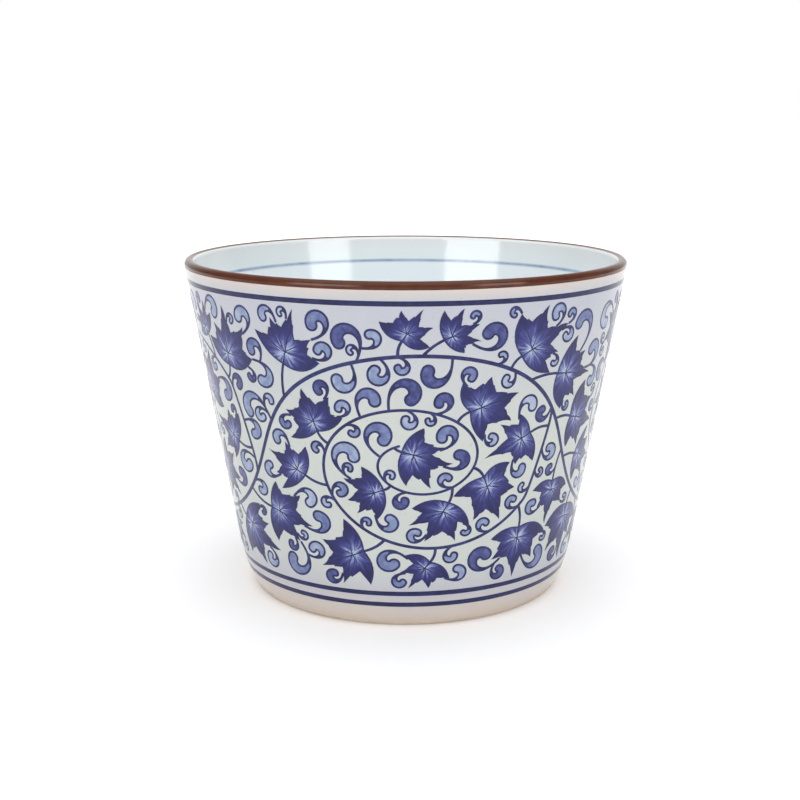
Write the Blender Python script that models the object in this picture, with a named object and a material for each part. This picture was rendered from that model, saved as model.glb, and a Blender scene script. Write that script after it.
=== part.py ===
"""Teacup: a porcelain cup with no handle, a rounded foot and a straight flaring wall.

The fired cup is one piece. It is modelled as the layers that it is made from: the clay body, the glazes
that coat it, the iron-brown glaze over the lip, the painted cobalt rings and the printed vine band.
Every layer is a turned solid about the Z axis, and the cup stands on z = 0.
"""

import math

import bmesh
import bpy

MM = 0.001

# Driving dimensions, in metres: the finished surface of the cup.
HEIGHT = 63.0 * MM
RIM_RADIUS = 41.5 * MM
FOOT_RADIUS = 29.0 * MM
CORNER_RADIUS = 32.6 * MM
CORNER_HEIGHT = 9.4 * MM
LIP_WALL = 1.94 * MM

# The inside: a straight wall down to the turn, then a rounded corner and a dished floor.
INNER_TURN_RADIUS = 30.7 * MM
INNER_TURN_HEIGHT = 15.0 * MM
FLOOR_HEIGHT = 7.2 * MM
FLOOR_EDGE_RADIUS = 19.0 * MM
FLOOR_DISH = 0.4 * MM
FLOOR_CORNER_REACH = 7.5 * MM

# How far the handles of the two rounded corners reach, as shares of the corner's own size.
FOOT_HANDLE_OUT = 0.5
FOOT_HANDLE_UP = 0.1
WALL_HANDLE_DOWN = 0.3
INNER_HANDLE_DOWN = 0.1

# The foot ring, and the shallow recess inside it.
BARE_FOOT_HEIGHT = 0.9 * MM
FOOT_FACE_OUTER = 28.6 * MM
FOOT_FACE_INNER = 26.4 * MM
RECESS_RADIUS = 25.0 * MM
RECESS_HEIGHT = 2.8 * MM

# Layers: every coat is this thick, and neighbours keep a gap, so that no two solids touch.
GLAZE = 0.5 * MM
PAINT = 0.2 * MM
GAP = 0.1 * MM

# Heights of the painted bands on the finished surface.
BROWN_OUTER_HEIGHT = 61.75 * MM
BROWN_INNER_HEIGHT = 61.9 * MM
RING_WIDTH = 0.85 * MM
UPPER_RING_HEIGHT = 59.4 * MM
LOWER_RING_UPPER_HEIGHT = 6.9 * MM
LOWER_RING_LOWER_HEIGHT = 4.65 * MM
INNER_RING_WIDTH = 0.9 * MM
INNER_RING_HEIGHT = 57.8 * MM
VINE_TOP = 58.7 * MM
VINE_BOTTOM = 7.7 * MM

# Facets round the axis, and points along each rounded stretch of an outline.
SEGMENTS = 48
LIP_POINTS = 4
FOOT_POINTS = 6
CORNER_POINTS = 6

# The lip is a half circle across the wall.
LIP_RADIUS = LIP_WALL / 2
LIP_CENTRE = (RIM_RADIUS - LIP_RADIUS, HEIGHT - LIP_RADIUS)


def bezier(p0, p1, p2, p3, t):
    """The point at t on a cubic curve, and the direction of travel there."""
    u = 1 - t
    point = []
    direction = []
    for a, b, c, d in zip(p0, p1, p2, p3):
        point.append(u**3 * a + 3 * u * u * t * b + 3 * u * t * t * c + t**3 * d)
        direction.append(3 * u * u * (b - a) + 6 * u * t * (c - b) + 3 * t * t * (d - c))
    return point, direction


def shifted(point, direction, depth):
    """The point moved by depth to the left of its direction of travel."""
    length = math.hypot(*direction)
    return (point[0] - direction[1] / length * depth, point[1] + direction[0] / length * depth)


WALL_DIRECTION = (LIP_CENTRE[0] + LIP_RADIUS - CORNER_RADIUS, LIP_CENTRE[1] - CORNER_HEIGHT)
WALL_SLOPE = WALL_DIRECTION[0] / WALL_DIRECTION[1]
FOOT_CURVE = (
    (FOOT_RADIUS, 0.0),
    (FOOT_RADIUS + FOOT_HANDLE_OUT * (CORNER_RADIUS - FOOT_RADIUS), FOOT_HANDLE_UP * CORNER_HEIGHT),
    (
        CORNER_RADIUS - WALL_HANDLE_DOWN * CORNER_HEIGHT * WALL_SLOPE,
        (1 - WALL_HANDLE_DOWN) * CORNER_HEIGHT,
    ),
    (CORNER_RADIUS, CORNER_HEIGHT),
)


def outer(height, depth=0.0):
    """A point under the finished outer surface at this height, and this far in from it."""
    if height >= CORNER_HEIGHT:
        point = (CORNER_RADIUS + (height - CORNER_HEIGHT) * WALL_SLOPE, height)
        return shifted(point, WALL_DIRECTION, depth)
    low, high = 0.0, 1.0
    for _ in range(40):
        middle = (low + high) / 2
        if bezier(*FOOT_CURVE, middle)[0][1] < height:
            low = middle
        else:
            high = middle
    return shifted(*bezier(*FOOT_CURVE, low), depth)


def heights(bottom, top, count):
    """Heights from bottom to top, ends included."""
    return [bottom + (top - bottom) * i / count for i in range(count + 1)]


INNER_TOP = (LIP_CENTRE[0] - LIP_RADIUS, LIP_CENTRE[1])
INNER_TURN = (INNER_TURN_RADIUS, INNER_TURN_HEIGHT)
INNER_DIRECTION = (INNER_TURN[0] - INNER_TOP[0], INNER_TURN[1] - INNER_TOP[1])
INNER_CURVE = (
    INNER_TURN,
    (
        INNER_TURN[0] + INNER_HANDLE_DOWN * INNER_DIRECTION[0],
        INNER_TURN[1] + INNER_HANDLE_DOWN * INNER_DIRECTION[1],
    ),
    (FLOOR_EDGE_RADIUS + FLOOR_CORNER_REACH, FLOOR_HEIGHT + FLOOR_DISH),
    (FLOOR_EDGE_RADIUS, FLOOR_HEIGHT + FLOOR_DISH),
)


def inner_wall(height, depth=0.0):
    """A point on the straight stretch of the finished inside, or this far into the wall."""
    share = (INNER_TOP[1] - height) / (INNER_TOP[1] - INNER_TURN[1])
    point = (INNER_TOP[0] + share * INNER_DIRECTION[0], height)
    return shifted(point, INNER_DIRECTION, depth)


def inner_floor(depth=0.0):
    """The rounded corner and the floor inside, from the wall's turn in to the axis."""
    points = []
    for i in range(CORNER_POINTS + 1):
        points.append(shifted(*bezier(*INNER_CURVE, i / CORNER_POINTS), depth))
    return points + [(0.0, FLOOR_HEIGHT - depth)]


def lip(depth=0.0):
    """The half circle over the lip, from its outer side to its inner side."""
    points = []
    for i in range(LIP_POINTS + 1):
        angle = math.pi * i / LIP_POINTS
        reach = LIP_RADIUS - depth
        points.append((LIP_CENTRE[0] + reach * math.cos(angle), LIP_CENTRE[1] + reach * math.sin(angle)))
    return points


def recess(bottom, depth=0.0):
    """The hollow under the foot, from the axis out and down to the bottom height."""
    ceiling = RECESS_HEIGHT + depth
    return [(0.0, ceiling), (RECESS_RADIUS + depth, ceiling), (FOOT_FACE_INNER + depth, bottom)]


def material(name, colour, roughness):
    made = bpy.data.materials.new(name)
    made.use_nodes = True
    shader = made.node_tree.nodes["Principled BSDF"]
    shader.inputs["Base Color"].default_value = (*colour, 1.0)
    shader.inputs["Roughness"].default_value = roughness
    shader.inputs["Metallic"].default_value = 0.0
    return made


def turned(name, outline, finish):
    """A solid made by turning an outline of (radius, height) points about the Z axis.

    An outline that starts and ends on the axis is left open there; any other is closed.
    """
    mesh = bpy.data.meshes.new(name)
    form = bmesh.new()
    verts = [form.verts.new((radius, 0.0, height)) for radius, height in outline]
    edges = [form.edges.new(pair) for pair in zip(verts, verts[1:])]
    if outline[0][0] > 0.0:
        edges.append(form.edges.new((verts[-1], verts[0])))
    bmesh.ops.spin(
        form,
        geom=verts + edges,
        cent=(0.0, 0.0, 0.0),
        axis=(0.0, 0.0, 1.0),
        angle=2 * math.pi,
        steps=SEGMENTS,
    )
    bmesh.ops.remove_doubles(form, verts=form.verts, dist=0.001 * MM)
    bmesh.ops.recalc_face_normals(form, faces=form.faces)
    form.to_mesh(mesh)
    form.free()
    mesh.shade_smooth()
    mesh.set_sharp_from_angle(angle=math.radians(35))
    mesh.materials.append(finish)
    made = bpy.data.objects.new(name, mesh)
    bpy.context.scene.collection.objects.link(made)
    return made


def ring(name, height, width, finish):
    """A painted ring on the outer wall, sunk level with the glaze."""
    bottom = height - width / 2
    top = height + width / 2
    outline = [outer(bottom), outer(top), outer(top, PAINT), outer(bottom, PAINT)]
    return turned(name, outline, finish)


def groove(height, width):
    """The outer glaze's recess for a ring, from its lower edge to its upper edge."""
    bottom = height - width / 2 - GAP
    top = height + width / 2 + GAP
    depth = PAINT + GAP
    return [outer(bottom), outer(bottom, depth), outer(top, depth), outer(top)]


def make_body(finish):
    """The clay: wall, lip core, floor and foot ring. Only the foot's edge reaches the surface."""
    under = GLAZE + GAP
    outline = recess(BARE_FOOT_HEIGHT, under)
    outline.append((FOOT_FACE_INNER, BARE_FOOT_HEIGHT))
    outline.append((FOOT_FACE_INNER, 0.0))
    outline.append((FOOT_FACE_OUTER, 0.0))
    outline.append(outer(BARE_FOOT_HEIGHT / 2))
    outline.append(outer(BARE_FOOT_HEIGHT))
    outline.append(outer(BARE_FOOT_HEIGHT, under))
    for height in heights(BARE_FOOT_HEIGHT, CORNER_HEIGHT, FOOT_POINTS)[1:]:
        outline.append(outer(height, under))
    outline += lip(under)
    outline += inner_floor(under)
    return turned("porcelain_body", outline, finish)


def make_outer_glaze(finish):
    """The clear glaze outside, with a recess for each ring and for the vine band."""
    bottom = BARE_FOOT_HEIGHT + GAP
    top = BROWN_OUTER_HEIGHT - GAP
    foot = heights(bottom, CORNER_HEIGHT, FOOT_POINTS)
    vine = groove((VINE_TOP + VINE_BOTTOM) / 2, VINE_TOP - VINE_BOTTOM)
    turn = outer(CORNER_HEIGHT, PAINT + GAP)
    outline = [outer(foot[0]), outer(foot[1]), outer(foot[2])]
    outline += groove(LOWER_RING_LOWER_HEIGHT, RING_WIDTH)
    outline += groove(LOWER_RING_UPPER_HEIGHT, RING_WIDTH)
    outline += vine[:2] + [turn] + vine[2:]
    outline += groove(UPPER_RING_HEIGHT, RING_WIDTH)
    outline += [outer(top), outer(top, GLAZE)]
    outline += [outer(height, GLAZE) for height in reversed(foot)]
    return turned("outer_glaze", outline, finish)


def make_inner_glaze(finish):
    """The clear glaze inside, from the brown band down over the floor."""
    top = BROWN_INNER_HEIGHT - GAP
    ring_bottom = INNER_RING_HEIGHT - INNER_RING_WIDTH / 2 - GAP
    ring_top = INNER_RING_HEIGHT + INNER_RING_WIDTH / 2 + GAP
    depth = PAINT + GAP
    outline = list(reversed(inner_floor()))
    outline += [inner_wall(ring_bottom), inner_wall(ring_bottom, depth)]
    outline += [inner_wall(ring_top, depth), inner_wall(ring_top)]
    outline += [inner_wall(top), inner_wall(top, GLAZE)]
    outline += inner_floor(GLAZE)
    return turned("inner_glaze", outline, finish)


def make_rim_glaze(finish):
    """The iron-brown glaze over the lip."""
    outline = [outer(BROWN_OUTER_HEIGHT, GLAZE), outer(BROWN_OUTER_HEIGHT)]
    outline += lip()
    outline += [inner_wall(BROWN_INNER_HEIGHT), inner_wall(BROWN_INNER_HEIGHT, GLAZE)]
    outline += list(reversed(lip(GLAZE)))
    return turned("rim_glaze", outline, finish)


def make_foot_glaze(finish):
    """The clear glaze in the recess under the foot."""
    bottom = BARE_FOOT_HEIGHT + GAP
    outline = recess(bottom) + list(reversed(recess(bottom, GLAZE)))
    return turned("foot_glaze", outline, finish)


def make_inner_ring(finish):
    bottom = INNER_RING_HEIGHT - INNER_RING_WIDTH / 2
    top = INNER_RING_HEIGHT + INNER_RING_WIDTH / 2
    outline = [inner_wall(top), inner_wall(bottom), inner_wall(bottom, PAINT), inner_wall(top, PAINT)]
    return turned("inner_border_line", outline, finish)


def make_vine_print(finish):
    """A plain band that stands for the printed vine."""
    outline = [outer(VINE_BOTTOM), outer(CORNER_HEIGHT), outer(VINE_TOP)]
    outline += [outer(VINE_TOP, PAINT), outer(CORNER_HEIGHT, PAINT), outer(VINE_BOTTOM, PAINT)]
    return turned("vine_print", outline, finish)


def main():
    for old in list(bpy.data.objects):
        bpy.data.objects.remove(old, do_unlink=True)
    clay = material("clay", (0.72, 0.62, 0.50), 0.75)
    glaze = material("white_glaze", (0.80, 0.82, 0.80), 0.12)
    iron = material("iron_glaze", (0.085, 0.032, 0.022), 0.15)
    cobalt = material("cobalt", (0.022, 0.024, 0.085), 0.15)
    pale_cobalt = material("pale_cobalt", (0.42, 0.50, 0.62), 0.15)
    vine = material("vine_cobalt", (0.22, 0.26, 0.48), 0.15)
    make_body(clay)
    make_outer_glaze(glaze)
    make_inner_glaze(glaze)
    make_foot_glaze(glaze)
    make_rim_glaze(iron)
    ring("upper_border_line", UPPER_RING_HEIGHT, RING_WIDTH, cobalt)
    ring("lower_border_line_upper", LOWER_RING_UPPER_HEIGHT, RING_WIDTH, cobalt)
    ring("lower_border_line_lower", LOWER_RING_LOWER_HEIGHT, RING_WIDTH, cobalt)
    make_inner_ring(pale_cobalt)
    make_vine_print(vine)


main()
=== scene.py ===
"""Teacup, as it looks: smooth porcelain, glaze, an iron-brown lip, cobalt rings and a painted leaf vine.

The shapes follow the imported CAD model: heights and radii are read from its nodes, and every piece here
stands for one of them. The vine is a generic running scroll. Its stems, leaves and curls are formulas,
and a seeded rule places the leaves and curls along the stems wherever there is room.
"""

import math
import random

import bpy
import numpy as np
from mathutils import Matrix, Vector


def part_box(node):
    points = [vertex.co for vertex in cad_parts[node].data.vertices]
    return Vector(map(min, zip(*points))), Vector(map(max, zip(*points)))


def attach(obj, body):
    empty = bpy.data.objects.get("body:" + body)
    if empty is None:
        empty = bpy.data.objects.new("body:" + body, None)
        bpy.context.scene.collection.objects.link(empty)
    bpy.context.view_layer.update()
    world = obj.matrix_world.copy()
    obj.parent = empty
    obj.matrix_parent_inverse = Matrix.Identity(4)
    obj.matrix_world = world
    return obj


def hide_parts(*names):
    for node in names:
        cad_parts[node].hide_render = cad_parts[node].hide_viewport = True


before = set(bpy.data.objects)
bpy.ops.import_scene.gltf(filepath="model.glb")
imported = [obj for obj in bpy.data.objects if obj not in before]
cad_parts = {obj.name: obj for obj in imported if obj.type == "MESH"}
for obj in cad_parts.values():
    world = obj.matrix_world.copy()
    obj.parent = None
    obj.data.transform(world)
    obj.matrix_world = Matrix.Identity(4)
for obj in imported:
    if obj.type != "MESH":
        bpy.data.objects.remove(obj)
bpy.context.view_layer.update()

MM = 0.001


def span(node):
    """A node's largest radius, lowest height and highest height, in millimetres."""
    low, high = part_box(node)
    return high[0] / MM, low[2] / MM, high[2] / MM


# ---- the cup's outline, in millimetres
RIM_RADIUS, BROWN_HEIGHT, HEIGHT = span("rim_glaze")
_, VINE_BOTTOM, VINE_TOP = span("vine_print")
CORNER_RADIUS = 32.6
CORNER_HEIGHT = 9.4
FOOT_RADIUS = 29.0
LIP_RADIUS = 0.97
INNER_TURN_RADIUS = 30.7
INNER_TURN_HEIGHT = 15.0
FLOOR_HEIGHT = 7.2
FLOOR_EDGE_RADIUS = 19.0
FLOOR_DISH = 0.4
FLOOR_CORNER_REACH = 7.5
BARE_FOOT_HEIGHT = 0.9
FOOT_FACE_OUTER = 28.6
FOOT_FACE_INNER = 26.4
RECESS_RADIUS = 25.0
RECESS_HEIGHT = 2.8
GLAZE = 0.5
PAINT_DEPTH = 0.1
PAINT_LIFT = 0.012
CLAY_GAP = 0.05

# How far the handles of the two rounded corners reach, as shares of the corner's own size.
FOOT_HANDLE_OUT = 0.5
FOOT_HANDLE_UP = 0.1
WALL_HANDLE_DOWN = 0.3
INNER_HANDLE_DOWN = 0.1

# The brown glaze ends this far over the lip, in degrees from its outer side, and fades out there.
BROWN_TURN = 132.0
BROWN_FADE = 0.25

# Outside, the clear glaze ends and the brown one starts these distances below the CAD's brown edge.
CLEAR_END = 0.1
BROWN_START = 0.02
BROWN_LIFT = 0.004

# How far the painted and glazed edges waver, and the rounding of the foot's standing edge.
RING_WAVER = 0.03
GLAZE_WAVER = 0.05
BROWN_WAVER = 0.07
FOOT_EDGE = 0.3

# Steps round the axis, and points along each rounded stretch of an outline.
TURN_STEPS = 288
CORNER_POINTS = 24
DISH_POINTS = 8
SHARP_ANGLE = math.radians(35)

LIP_CENTRE = (RIM_RADIUS - LIP_RADIUS, HEIGHT - LIP_RADIUS)
WALL_DIRECTION = (RIM_RADIUS - CORNER_RADIUS, LIP_CENTRE[1] - CORNER_HEIGHT)
WALL_SLOPE = WALL_DIRECTION[0] / WALL_DIRECTION[1]
WALL_LEAN = math.atan(WALL_SLOPE)
FOOT_CURVE = (
    (FOOT_RADIUS, 0.0),
    (FOOT_RADIUS + FOOT_HANDLE_OUT * (CORNER_RADIUS - FOOT_RADIUS), FOOT_HANDLE_UP * CORNER_HEIGHT),
    (
        CORNER_RADIUS - WALL_HANDLE_DOWN * CORNER_HEIGHT * WALL_SLOPE,
        (1 - WALL_HANDLE_DOWN) * CORNER_HEIGHT,
    ),
    (CORNER_RADIUS, CORNER_HEIGHT),
)
INNER_TOP = (LIP_CENTRE[0] - LIP_RADIUS, LIP_CENTRE[1])
INNER_TURN = (INNER_TURN_RADIUS, INNER_TURN_HEIGHT)
INNER_DIRECTION = (INNER_TURN[0] - INNER_TOP[0], INNER_TURN[1] - INNER_TOP[1])
INNER_CURVE = (
    INNER_TURN,
    tuple(at + INNER_HANDLE_DOWN * run for at, run in zip(INNER_TURN, INNER_DIRECTION)),
    (FLOOR_EDGE_RADIUS + FLOOR_CORNER_REACH, FLOOR_HEIGHT + FLOOR_DISH),
    (FLOOR_EDGE_RADIUS, FLOOR_HEIGHT + FLOOR_DISH),
)


def bezier(p0, p1, p2, p3, t):
    """The point at t on a cubic curve, and the direction of travel there."""
    u = 1 - t
    point = []
    direction = []
    for a, b, c, d in zip(p0, p1, p2, p3):
        point.append(u**3 * a + 3 * u * u * t * b + 3 * u * t * t * c + t**3 * d)
        direction.append(3 * u * u * (b - a) + 6 * u * t * (c - b) + 3 * t * t * (d - c))
    return point, direction


def shifted(point, direction, depth):
    """The point moved by depth to the left of its direction of travel."""
    length = math.hypot(*direction)
    return (point[0] - direction[1] / length * depth, point[1] + direction[0] / length * depth)


def outer(height, depth=0.0):
    """A point on the outer surface at this height, or this far in from it."""
    if height >= CORNER_HEIGHT:
        point = (CORNER_RADIUS + (height - CORNER_HEIGHT) * WALL_SLOPE, height)
        return shifted(point, WALL_DIRECTION, depth)
    low, high = 0.0, 1.0
    for _ in range(40):
        middle = (low + high) / 2
        if bezier(*FOOT_CURVE, middle)[0][1] < height:
            low = middle
        else:
            high = middle
    return shifted(*bezier(*FOOT_CURVE, low), depth)


def inner_wall(height, depth=0.0):
    """A point on the straight stretch inside, or this far into the wall."""
    share = (INNER_TOP[1] - height) / (INNER_TOP[1] - INNER_TURN[1])
    return shifted((INNER_TOP[0] + share * INNER_DIRECTION[0], height), INNER_DIRECTION, depth)


def inner_floor(depth=0.0):
    """The rounded corner and the dished floor inside, from the wall's turn in to the axis."""
    points = [shifted(*bezier(*INNER_CURVE, i / CORNER_POINTS), depth) for i in range(CORNER_POINTS + 1)]
    for i in range(1, DISH_POINTS + 1):
        share = 1 - i / DISH_POINTS
        points.append((FLOOR_EDGE_RADIUS * share, FLOOR_HEIGHT + FLOOR_DISH * share**2 - depth))
    return points


def lip(first, last, depth=0.0, count=18):
    """An arc over the lip between two angles in degrees: 0 is its outer side and 90 its crest."""
    points = []
    reach = LIP_RADIUS - depth
    for angle in np.radians(np.linspace(first, last, count)):
        outwards, up = reach * math.cos(angle), reach * math.sin(angle)
        points.append((LIP_CENTRE[0] + outwards, LIP_CENTRE[1] + up))
    return points


def between(bottom, top, count):
    """Evenly spaced heights, both ends included."""
    return [float(height) for height in np.linspace(bottom, top, count)]


# ---- meshes
def new_object(name, data):
    made = bpy.data.objects.new(name, data)
    bpy.context.scene.collection.objects.link(made)
    return made


def make_piece(name, points, faces, finish, node):
    """A piece of the cup from points in millimetres."""
    mesh = bpy.data.meshes.new(name)
    mesh.from_pydata([tuple(value * MM for value in point) for point in points], [], faces)
    mesh.validate()
    mesh.shade_smooth()
    mesh.set_sharp_from_angle(angle=SHARP_ANGLE)
    mesh.materials.append(finish)
    piece = new_object(name, mesh)
    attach(piece, "root")
    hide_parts(node)
    return piece


def wobble(angle, seed):
    """A slow hand-made unevenness round the cup, between about -1 and 1."""
    first, second, third = 2 + seed % 3, 5 + seed % 4, 11 + seed % 5
    value = math.sin(first * angle + seed) + 0.6 * math.sin(second * angle + 2 * seed)
    return (value + 0.35 * math.sin(third * angle + 3 * seed)) / 1.95


def turned(name, outline, finish, node, uneven=None):
    """A closed solid, turned from an outline of (radius, height) points.

    The outline starts and ends on the axis, or is closed into a ring. uneven(index, angle), where given,
    says how far each point of the outline moves up along the wall's slope.
    """
    on_axis = outline[0][0] < 1e-6
    rows = outline[1:-1] if on_axis else outline
    points = []
    for step in range(TURN_STEPS):
        angle = 2 * math.pi * step / TURN_STEPS
        for index, (radius, height) in enumerate(rows):
            if uneven:
                rise = uneven(index, angle)
                radius, height = radius + rise * WALL_SLOPE, height + rise
            points.append((radius * math.sin(angle), -radius * math.cos(angle), height))
    count = len(rows)
    faces = []
    for step in range(TURN_STEPS):
        here = step * count
        there = (step + 1) % TURN_STEPS * count
        for index in range(count - 1 if on_axis else count):
            after = (index + 1) % count
            faces.append((here + index, there + index, there + after, here + after))
        if on_axis:
            faces.append((TURN_STEPS * count, there, here))
            faces.append((TURN_STEPS * count + 1, here + count - 1, there + count - 1))
    if on_axis:
        points.append((0.0, 0.0, outline[0][1]))
        points.append((0.0, 0.0, outline[-1][1]))
    if signed_area(outline) < 0:
        faces = [tuple(reversed(face)) for face in faces]
    return make_piece(name, points, faces, finish, node)


def signed_area(outline):
    """Positive for an outline that runs anticlockwise, with the radius to the right and height up."""
    total = 0.0
    for (r0, z0), (r1, z1) in zip(outline, outline[1:] + outline[:1]):
        total += r0 * z1 - r1 * z0
    return total / 2


# ---- materials
OUTSIDE_GLOSS = 0.30
IRON_GLOSS = 0.25
INSIDE_ROUGHNESS = (0.07, 0.13)
SATIN_ROUGHNESS = (0.12, 0.22)
CLAY_ROUGHNESS = (0.65, 0.85)
INSIDE_GLAZE = (0.88, 0.93, 0.955)


def add(tree, kind, inputs=(), **settings):
    """A node with its settings, and with its inputs linked to sockets or set to values."""
    node = tree.nodes.new(kind)
    for name, value in settings.items():
        setattr(node, name, value)
    for name, value in dict(inputs).items():
        socket = node.inputs[name]
        if isinstance(value, bpy.types.NodeSocket):
            tree.links.new(value, socket)
        else:
            socket.default_value = (*value, 1.0) if socket.type == "RGBA" else value
    return node


def noise(tree, vector, scale, detail=3.0, roughness=0.55):
    """A noise texture's value, at this many cells per metre."""
    inputs = {"Vector": vector, "Scale": scale, "Detail": detail, "Roughness": roughness}
    return add(tree, "ShaderNodeTexNoise", inputs).outputs["Fac"]


def ramp(tree, value, *stops):
    """A colour ramp from (place, colour) stops."""
    node = add(tree, "ShaderNodeValToRGB", {"Fac": value})
    elements = node.color_ramp.elements
    while len(elements) < len(stops):
        elements.new(0.5)
    for element, (place, colour) in zip(elements, stops):
        element.position = place
        element.color = (*colour, 1.0)
    return node.outputs["Color"]


def ranged(tree, value, low, high, to_low=0.0, to_high=1.0):
    """A value stretched from one range to another, and kept inside it."""
    inputs = {"Value": value, "From Min": low, "From Max": high, "To Min": to_low, "To Max": to_high}
    return add(tree, "ShaderNodeMapRange", inputs).outputs["Result"]


def mixed(tree, share, first, second, blend="MIX"):
    """Two colours mixed by a linked or constant share."""
    inputs = {"Factor": share, 6: first, 7: second}
    return add(tree, "ShaderNodeMix", inputs, data_type="RGBA", blend_type=blend).outputs[2]


def maths(tree, operation, *values):
    """A maths node on linked or constant values."""
    return add(tree, "ShaderNodeMath", enumerate(values), operation=operation).outputs["Value"]


def vector_length(tree, vector):
    return add(tree, "ShaderNodeVectorMath", {0: vector}, operation="LENGTH").outputs["Value"]


def attribute(tree, name, output="Fac"):
    """A mark that a mesh carries from point to point."""
    node = add(tree, "ShaderNodeAttribute", attribute_type="GEOMETRY", attribute_name=name)
    return node.outputs[output]


def new_material(name, gloss=0.5):
    """A new material, its node tree, the point on the object, and that point's height in metres."""
    made = bpy.data.materials.new(name)
    made.use_nodes = True
    tree = made.node_tree
    tree.nodes["Principled BSDF"].inputs["Specular IOR Level"].default_value = gloss
    place = add(tree, "ShaderNodeTexCoord").outputs["Object"]
    height = add(tree, "ShaderNodeSeparateXYZ", {"Vector": place}).outputs["Z"]
    return made, tree, place, height


def finish_surface(tree, colour, place, rough=(0.09, 0.17), bump=0.01 * MM):
    """Links the colour, a roughness that varies a little, and the glaze's faint waviness."""
    shader = tree.nodes["Principled BSDF"]
    tree.links.new(colour, shader.inputs["Base Color"])
    varied = ranged(tree, noise(tree, place, 260.0), 0.3, 0.7, *rough)
    tree.links.new(varied, shader.inputs["Roughness"])
    wave = {"Strength": 0.5, "Distance": bump, "Height": noise(tree, place, 420.0, 2.0)}
    tree.links.new(add(tree, "ShaderNodeBump", wave).outputs["Normal"], shader.inputs["Normal"])


def clouded(tree, place, scale, clear, shade):
    """A slow change from one tone of the glaze to another."""
    return mixed(tree, ranged(tree, noise(tree, place, scale), 0.35, 0.7), clear, shade)


def specks(tree, place, colour, tint):
    """Scattered pin-point specks in the glaze."""
    share = ranged(tree, noise(tree, place, 2600.0, 0.0), 0.76, 0.84, 0.0, 0.35)
    return mixed(tree, share, colour, tint)


def outer_glaze_material():
    made, tree, place, height = new_material("clear_glaze_outside", OUTSIDE_GLOSS)
    ground = ramp(
        tree,
        ranged(tree, height, 0.0, HEIGHT * MM),
        (0.00, (0.64, 0.53, 0.44)),
        (0.05, (0.66, 0.59, 0.54)),
        (0.11, (0.54, 0.54, 0.59)),
        (0.20, (0.60, 0.63, 0.595)),
        (0.60, (0.60, 0.63, 0.59)),
        (0.93, (0.53, 0.54, 0.60)),
        (0.958, (0.58, 0.58, 0.59)),
        (0.978, (0.70, 0.60, 0.55)),
    )
    shade = mixed(tree, 1.0, ground, (0.955, 0.965, 1.0), "MULTIPLY")
    ground = clouded(tree, place, 55.0, ground, shade)
    ground = specks(tree, place, ground, (0.42, 0.36, 0.30))
    finish_surface(tree, ground, place)
    return made


def inner_glaze_material():
    made, tree, place, height = new_material("clear_glaze_inside")
    # Painted shade: the ramp darkens and greys the glaze towards the floor inside, in the well of the
    # cup, where the real glaze is no darker.
    ground = ramp(
        tree,
        ranged(tree, height, 0.0, HEIGHT * MM),
        (0.12, (0.79, 0.82, 0.83)),
        (0.35, (0.84, 0.88, 0.90)),
        (0.70, INSIDE_GLAZE),
        (0.905, (0.88, 0.935, 0.96)),
        (0.925, (0.84, 0.90, 0.91)),
        (0.985, (0.86, 0.885, 0.885)),
    )
    shade = mixed(tree, 1.0, ground, (0.965, 0.985, 1.0), "MULTIPLY")
    finish_surface(tree, clouded(tree, place, 50.0, ground, shade), place, INSIDE_ROUGHNESS)
    return made


def foot_glaze_material():
    made, tree, place, _ = new_material("clear_glaze_under_foot")
    ground = clouded(tree, place, 90.0, (0.72, 0.71, 0.69), (0.68, 0.64, 0.60))
    finish_surface(tree, specks(tree, place, ground, (0.38, 0.28, 0.2)), place, SATIN_ROUGHNESS)
    return made


def clay_material():
    made, tree, place, _ = new_material("bare_fired_clay")
    base = clouded(tree, place, 120.0, (0.62, 0.50, 0.40), (0.70, 0.60, 0.50))
    grain = ranged(tree, noise(tree, place, 2600.0, 4.0, 0.7), 0.45, 0.75, 0.0, 0.5)
    finish_surface(tree, mixed(tree, grain, base, (0.45, 0.34, 0.26)), place, CLAY_ROUGHNESS, 0.05 * MM)
    return made


def iron_material():
    """Iron-brown glaze: thinner on the crest of the lip, and fading where it ends inside."""
    made, tree, place, height = new_material("iron_brown_glaze", IRON_GLOSS)
    thin = ranged(tree, height, (HEIGHT - 0.55) * MM, HEIGHT * MM)
    body = clouded(tree, place, 340.0, (0.082, 0.024, 0.013), (0.125, 0.036, 0.018))
    colour = mixed(tree, thin, body, (0.110, 0.040, 0.024))
    level = add(tree, "ShaderNodeVectorMath", {0: place, 1: (1.0, 1.0, 0.0)}, operation="MULTIPLY")
    radius = vector_length(tree, level.outputs["Vector"])
    inner_edge = lip(BROWN_TURN, BROWN_TURN, count=1)[0][0]
    faded = ranged(tree, radius, inner_edge * MM, (inner_edge + BROWN_FADE) * MM, 0.75, 0.0)
    finish_surface(tree, mixed(tree, faded, colour, (0.55, 0.47, 0.42)), place, SATIN_ROUGHNESS)
    return made


def ink_material(name, dark, light):
    """Painted cobalt: darker where it pooled and lighter where the brush ran dry."""
    made, tree, place, _ = new_material(name, OUTSIDE_GLOSS)
    pooled = ranged(tree, noise(tree, place, 650.0, 4.0), 0.36, 0.68)
    finish_surface(tree, mixed(tree, pooled, dark, light), place)
    return made


def inner_ring_material():
    """A watery line inside, which fades into the glaze above and below it."""
    made, tree, place, height = new_material("inside_ring_cobalt")
    _, bottom, top = span("inner_border_line")
    along = ranged(tree, height, bottom * MM, top * MM)
    uneven = ranged(tree, noise(tree, place, 300.0), 0.3, 0.7)
    line = mixed(tree, uneven, (0.16, 0.28, 0.43), (0.38, 0.51, 0.65))
    upper_edge = mixed(tree, 0.9, line, INSIDE_GLAZE)
    below = mixed(tree, ranged(tree, along, 0.0, 0.5), INSIDE_GLAZE, line)
    shown = mixed(tree, ranged(tree, along, 0.5, 1.0), below, upper_edge)
    finish_surface(tree, shown, place, INSIDE_ROUGHNESS)
    return made


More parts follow.
